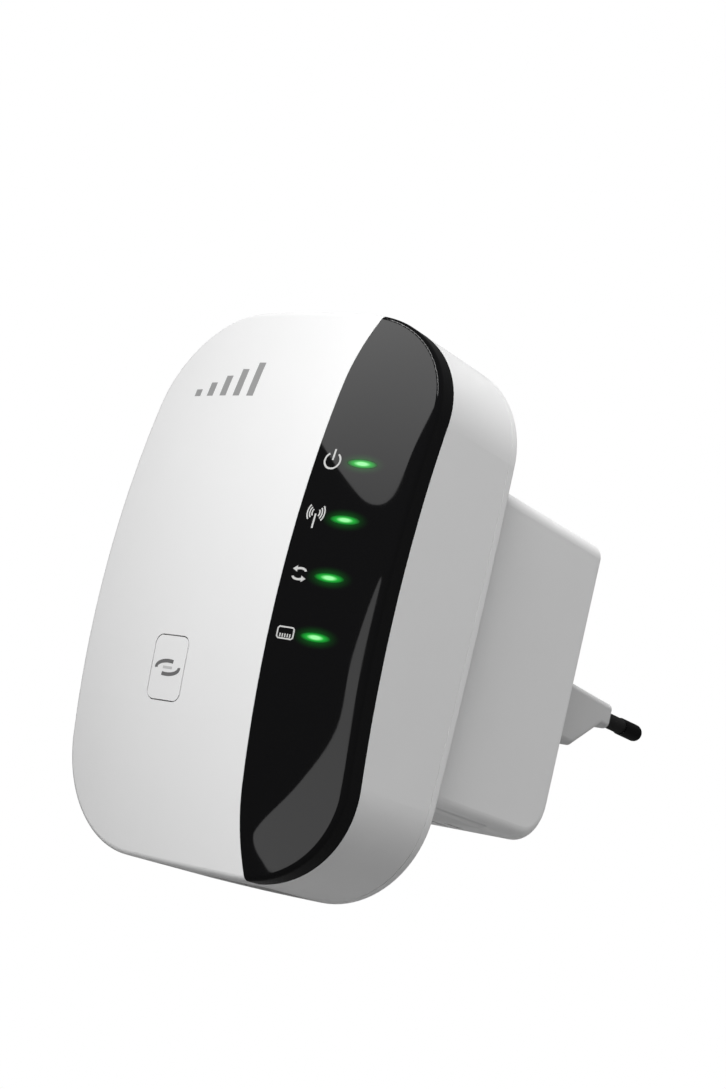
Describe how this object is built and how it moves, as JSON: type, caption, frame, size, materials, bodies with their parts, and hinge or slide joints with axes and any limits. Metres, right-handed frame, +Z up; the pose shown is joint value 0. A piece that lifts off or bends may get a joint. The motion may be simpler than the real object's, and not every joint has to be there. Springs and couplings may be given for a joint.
{
  "type": "wifi range extender",
  "caption": "Plug-in wireless range extender with a barrel-fronted casing, glossy side strip, green indicators, pairing key, box-shaped power housing and round-pin plug.",
  "frame": {"origin": "centre of the plug's engagement face, midway between the two pins and on their axes", "axes": "+Y along the pins, out of the plug towards the wall socket; +Z up; +X to the right as seen from the front"},
  "size_m": [0.0686, 0.1475, 0.109],
  "materials": {
    "white_plastic": "satin gloss moulding",
    "housing_plastic": "fine-textured white moulding",
    "black_gloss": "high-gloss black moulding",
    "plate_foil": "plain plate, left blank",
    "screw_steel": "zinc-plated steel",
    "nickel_brass": "nickel-plated brass",
    "sleeve_plastic": "black insulating sleeve",
    "wire_brown": "insulation",
    "wire_blue": "insulation",
    "wire_red": "insulation",
    "black_moulding": "moulded epoxy or nylon",
    "switch_key": "moulded key",
    "green_light": "clear pipe, lit green",
    "led_package": "white package",
    "green_board": "solder-masked laminate",
    "tan_board": "paper laminate",
    "tinned_steel": "tin-plated sheet",
    "gold_contact": "gold-plated",
    "ferrite": "sintered ferrite",
    "yellow_tape": "polyester tape",
    "can_sleeve": "shrink sleeve",
    "resistor_coat": "lacquered",
    "blue_disc": "lacquered disc",
    "nylon": "natural nylon"
  },
  "bodies": {
    "casing": {"accent_strip": "black_gloss", "antenna_left": "tinned_steel", "antenna_right": "tinned_steel", "board_capacitors": "can_sleeve", "board_screws": "screw_steel", "bridge_rectifier": "black_moulding", "case_screws": "screw_steel", "controller_chip": "black_moulding", "crystal": "tinned_steel", "filter_inductor": "ferrite", "flash_chip": "black_moulding", "front_shell": "white_plastic", "fusible_resistor": "resistor_coat", "housing_screws": "screw_steel", "led_lan": "led_package", "led_link": "led_package", "led_power": "led_package", "led_wireless": "led_package", "light_pipe_lan": "green_light", "light_pipe_link": "green_light", "light_pipe_power": "green_light", "light_pipe_wireless": "green_light", "link_header": "nylon", "link_leads": "wire_red", "link_plug": "nylon", "main_board": "green_board", "mains_board": "tan_board", "mains_capacitors": "can_sleeve", "mains_lead_left": "wire_brown", "mains_lead_right": "wire_blue", "memory_chip": "black_moulding", "network_transformer": "black_moulding", "optocoupler": "black_moulding", "output_capacitors": "can_sleeve", "output_diode": "black_moulding", "pin_sleeve_left": "sleeve_plastic", "pin_sleeve_right": "sleeve_plastic", "plug_nose": "housing_plastic", "plug_pin_left": "nickel_brass", "plug_pin_right": "nickel_brass", "power_housing": "housing_plastic", "power_inductor": "ferrite", "rating_plate": "plate_foil", "rear_shell": "white_plastic", "regulator_chip": "black_moulding", "reset_switch_base": "black_moulding", "rf_shield": "tinned_steel", "rj45_body": "black_moulding", "rj45_contacts": "gold_contact", "rj45_shield": "tinned_steel", "safety_capacitor": "blue_disc", "transformer_core": "ferrite", "transformer_winding": "yellow_tape", "wifi_chip": "black_moulding", "wps_switch_base": "black_moulding"},
    "wps_key": {"wps_button": "white_plastic", "wps_switch_plunger": "switch_key"},
    "reset_key": {"reset_switch_plunger": "switch_key"}
  },
  "joints": [
    {"name": "wps_press", "type": "slide", "parent": "casing", "child": "wps_key", "axis": [0, 1, 0], "range_m": [0, 0.0003], "stiffness_N_per_m": 800},
    {"name": "reset_press", "type": "slide", "parent": "casing", "child": "reset_key", "axis": [0, 0, 1], "range_m": [0, 0.00025], "stiffness_N_per_m": 400}
  ]
}
